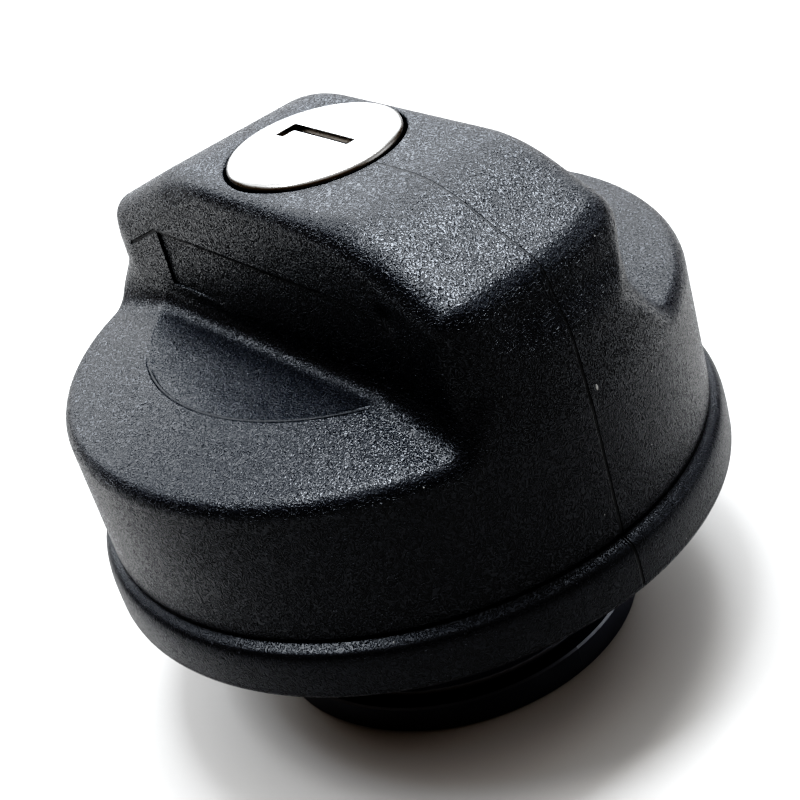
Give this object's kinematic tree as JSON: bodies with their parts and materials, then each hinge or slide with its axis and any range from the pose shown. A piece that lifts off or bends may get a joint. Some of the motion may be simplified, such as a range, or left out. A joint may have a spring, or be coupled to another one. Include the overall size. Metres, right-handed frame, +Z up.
{
  "type": "fuel filler cap",
  "caption": "Locking fuel filler cap: a black domed head with a bar grip and a round steel key face, over a screw-in neck plug with pressure and vacuum valves.",
  "frame": {"origin": "centre of the neck plug's foot, the lowest face of the cap", "axes": "+Z up along the cap's axis towards the key face, +X along the grip bar, +Y across it"},
  "size_m": [0.0742, 0.0742, 0.0636],
  "materials": {
    "cover_plastic": "black, leather-grained moulding",
    "insert_plastic": "smooth black",
    "inner_plastic": "smooth black",
    "acetal": "natural, waxy",
    "seal_rubber": "soft black",
    "face_steel": "satin stainless",
    "zinc_casting": "as cast",
    "wafer_brass": "stamped",
    "spring_steel": "bright wire",
    "plate_steel": "stamped",
    "screw_steel": "zinc plated"
  },
  "bodies": {
    "insert": {"neck_insert": "insert_plastic", "gasket": "seal_rubber", "valve_body": "inner_plastic", "foot_cover": "insert_plastic", "pressure_spring": "spring_steel"},
    "cover": {"cover": "cover_plastic", "lock_housing": "zinc_casting", "lock_screws": "screw_steel", "carrier_plate": "inner_plastic", "carrier_screws": "screw_steel", "retaining_ring": "inner_plastic", "glide_washer": "acetal"},
    "rotor": {"lock_rotor": "zinc_casting", "lock_face": "face_steel", "wafer_tumblers": "wafer_brass", "tumbler_springs": "spring_steel", "lock_o_ring": "seal_rubber", "rotor_clip": "spring_steel", "cam_disc": "acetal", "cam_screw": "screw_steel", "shutter_pin": "plate_steel"},
    "shutter": {"key_shutter": "plate_steel", "shutter_spring": "spring_steel"},
    "slider": {"clutch_slider": "acetal"},
    "pressure_valve": {"pressure_plate": "inner_plastic", "pressure_seal": "seal_rubber", "vacuum_spring": "spring_steel"},
    "vacuum_valve": {"vacuum_poppet": "inner_plastic"}
  },
  "joints": [
    {"name": "cover_spin", "type": "hinge", "parent": "insert", "child": "cover", "pos_m": [0, 0, 0.03], "axis": [0, 0, 1], "continuous": true},
    {"name": "lock_turn", "type": "hinge", "parent": "cover", "child": "rotor", "pos_m": [0, 0, 0.05], "axis": [0, 0, 1], "range_deg": [0, 90]},
    {"name": "shutter_swing", "type": "hinge", "parent": "rotor", "child": "shutter", "pos_m": [0, 0.003, 0.062], "axis": [1, 0, 0], "range_deg": [0, 88], "stiffness_Nm_per_rad": 0.0001, "springref_deg": -28.65},
    {"name": "clutch_slide", "type": "slide", "parent": "cover", "child": "slider", "axis": [1, 0, 0], "range_m": [0, 0.0026]},
    {"name": "pressure_lift", "type": "slide", "parent": "insert", "child": "pressure_valve", "axis": [0, 0, 1], "range_m": [0, 0.0025], "stiffness_N_per_m": 400, "springref_m": -0.003, "deforming": ["pressure_spring"]},
    {"name": "vacuum_drop", "type": "slide", "parent": "pressure_valve", "child": "vacuum_valve", "axis": [0, 0, -1], "range_m": [0, 0.0014], "stiffness_N_per_m": 60, "springref_m": -0.003, "deforming": ["vacuum_spring"]}
  ],
  "couplings": [
    {"joint": "clutch_slide", "follows": "lock_turn", "m_per_rad": 0.001655}
  ]
}
